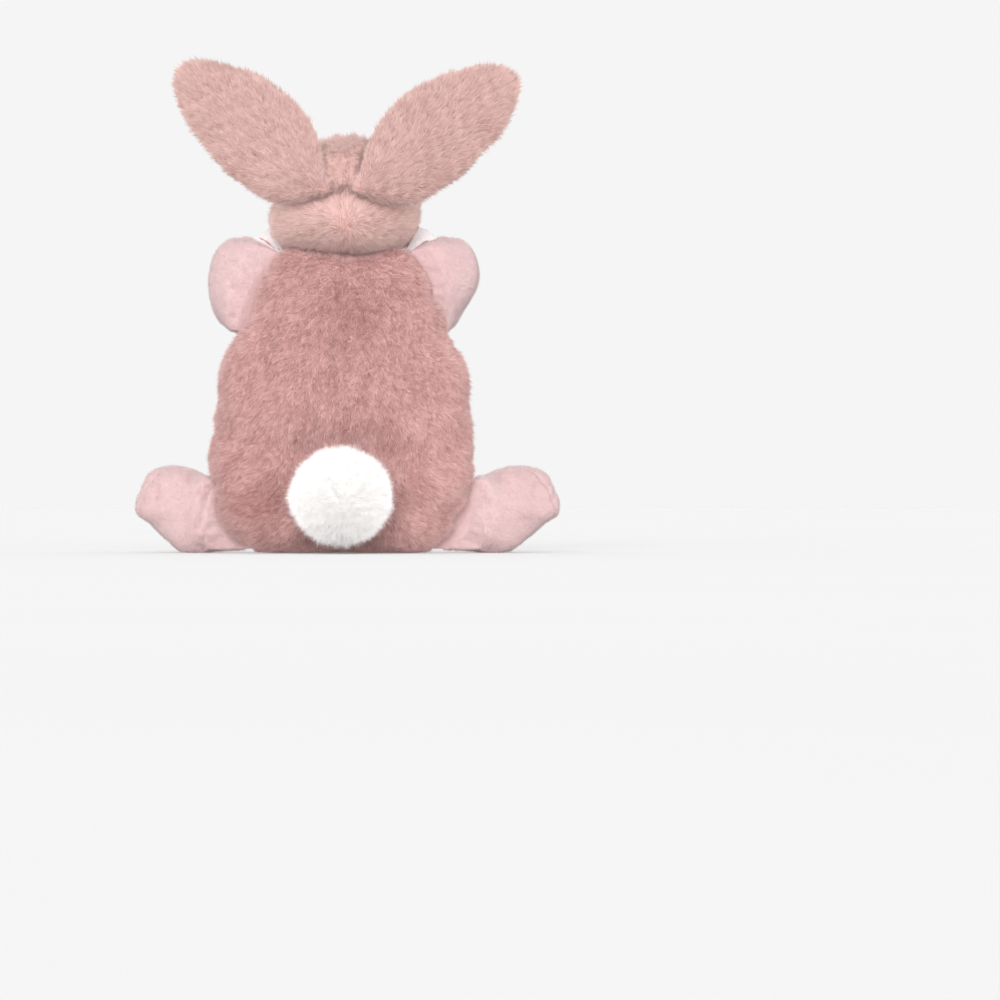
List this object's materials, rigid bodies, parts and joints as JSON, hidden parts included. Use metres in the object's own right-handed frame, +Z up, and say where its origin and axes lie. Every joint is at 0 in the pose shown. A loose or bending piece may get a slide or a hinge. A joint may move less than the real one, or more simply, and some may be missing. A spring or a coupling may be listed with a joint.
{
  "type": "stuffed bunny rabbit",
  "caption": "Sitting plush bunny with upright leaf-shaped ears, hugging arms, splayed feet, a printed cotton belly and a round pompom tail; the soft limbs, ears and head bend at their seams.",
  "frame": {"origin": "centre of the flat seat the bunny sits on", "axes": "+Z up, face along -Y, tail along +Y, the bunny's own left along +X"},
  "size_m": [0.1962, 0.1312, 0.2336],
  "materials": {
    "plush": "short dense dusty pink pile",
    "printed_cotton": "plain weave cotton, white with small pink flowers",
    "velour": "soft pale pink velour",
    "fibre_filling": "loose white fibre",
    "white_fur": "long soft white pile",
    "eye_thread": "satin stitch thread",
    "nose_thread": "satin stitch thread",
    "tie_cord": "twisted cotton cord"
  },
  "bodies": {
    "torso": {"back_panel": "plush", "front_panel": "printed_cotton", "seat_panel": "plush", "body_filling": "fibre_filling"},
    "neck": {"neck_filling": "fibre_filling"},
    "head": {"head_back_left": "plush", "head_back_right": "plush", "face_panel": "plush", "head_filling": "fibre_filling", "left_eye": "eye_thread", "right_eye": "eye_thread", "nose": "nose_thread", "mouth": "nose_thread"},
    "left_ear": {"left_ear_back": "plush", "left_ear_lining": "printed_cotton", "left_ear_filling": "fibre_filling"},
    "right_ear": {"right_ear_back": "plush", "right_ear_lining": "printed_cotton", "right_ear_filling": "fibre_filling"},
    "left_arm": {"left_arm_outer": "velour", "left_arm_inner": "velour", "left_arm_filling": "fibre_filling"},
    "right_arm": {"right_arm_outer": "velour", "right_arm_inner": "velour", "right_arm_filling": "fibre_filling"},
    "left_leg": {"left_leg_outer": "velour", "left_leg_inner": "velour", "left_foot_sole": "velour", "left_leg_filling": "fibre_filling"},
    "right_leg": {"right_leg_outer": "velour", "right_leg_inner": "velour", "right_foot_sole": "velour", "right_leg_filling": "fibre_filling"},
    "tail": {"pompom_fur": "white_fur", "pompom_core": "fibre_filling", "tail_tie": "tie_cord"}
  },
  "joints": [
    {"name": "head_turn", "type": "hinge", "parent": "torso", "child": "neck", "pos_m": [0, -0.001, 0.145], "axis": [0, 0, 1], "range_deg": [-30, 30], "stiffness_Nm_per_rad": 0.12},
    {"name": "head_nod", "type": "hinge", "parent": "neck", "child": "head", "pos_m": [0, -0.001, 0.145], "axis": [1, 0, 0], "range_deg": [-10, 10], "stiffness_Nm_per_rad": 0.25},
    {"name": "left_ear_flop", "type": "hinge", "parent": "head", "child": "left_ear", "pos_m": [0.0095, 0.0298, 0.1785], "axis": [0.156, 0, 0.9878], "range_deg": [0, 50], "stiffness_Nm_per_rad": 0.03},
    {"name": "right_ear_flop", "type": "hinge", "parent": "head", "child": "right_ear", "pos_m": [-0.0095, 0.0298, 0.1785], "axis": [0.156, 0, -0.9878], "range_deg": [0, 50], "stiffness_Nm_per_rad": 0.03},
    {"name": "left_arm_swing", "type": "hinge", "parent": "torso", "child": "left_arm", "pos_m": [0.0438, -0.001, 0.124], "axis": [-0.3541, 0, 0.9352], "range_deg": [-15, 35], "stiffness_Nm_per_rad": 0.05},
    {"name": "right_arm_swing", "type": "hinge", "parent": "torso", "child": "right_arm", "pos_m": [-0.0438, -0.001, 0.124], "axis": [-0.3541, 0, -0.9352], "range_deg": [-15, 35], "stiffness_Nm_per_rad": 0.05},
    {"name": "left_leg_splay", "type": "hinge", "parent": "torso", "child": "left_leg", "pos_m": [0.0606, -0.001, 0.0204], "axis": [0, 0, 1], "range_deg": [-20, 22], "stiffness_Nm_per_rad": 0.06},
    {"name": "right_leg_splay", "type": "hinge", "parent": "torso", "child": "right_leg", "pos_m": [-0.0606, -0.001, 0.0204], "axis": [0, 0, -1], "range_deg": [-20, 22], "stiffness_Nm_per_rad": 0.06},
    {"name": "tail_wag", "type": "hinge", "parent": "torso", "child": "tail", "pos_m": [0, 0.0294, 0.027], "axis": [0, 0, 1], "range_deg": [-18, 18], "stiffness_Nm_per_rad": 0.03}
  ]
}
